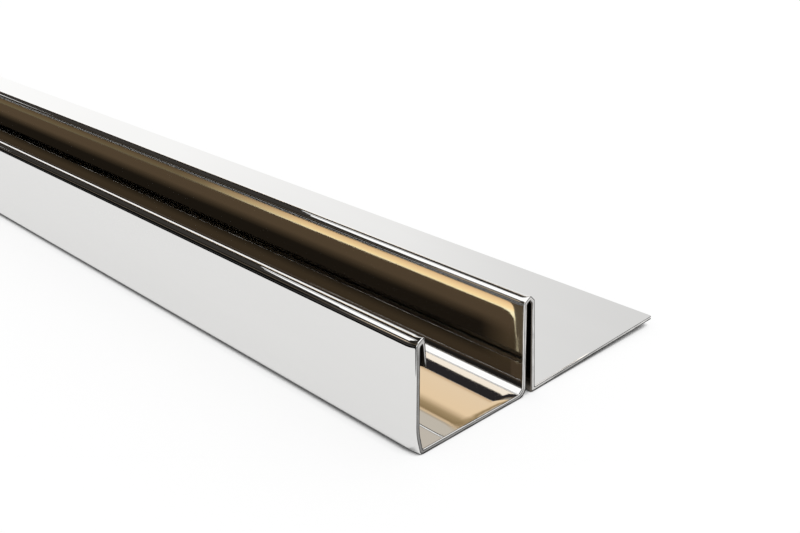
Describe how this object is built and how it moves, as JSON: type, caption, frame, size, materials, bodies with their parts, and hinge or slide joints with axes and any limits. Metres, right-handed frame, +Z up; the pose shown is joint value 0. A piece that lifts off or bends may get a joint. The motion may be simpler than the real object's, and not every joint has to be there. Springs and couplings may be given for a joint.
{
  "type": "folded sheet-metal u-channel profile with hem and flange",
  "caption": "Length of folded sheet: a U-channel with a hemmed front wall, a doubled rear wall and a flat flange behind it.",
  "frame": {"origin": "under the middle of the stock, at the level of its underside and halfway between the front face and the free edge of the flange", "axes": "+X along the stock, with the end that the picture shows at +X. +Y across it, from the front wall to the flange. +Z up, the way the channel opens"},
  "size_m": [1, 0.0732, 0.023],
  "materials": {
    "polished_sheet": "polished"
  },
  "bodies": {
    "root": {"folded_profile": "polished_sheet"}
  },
  "joints": []
}
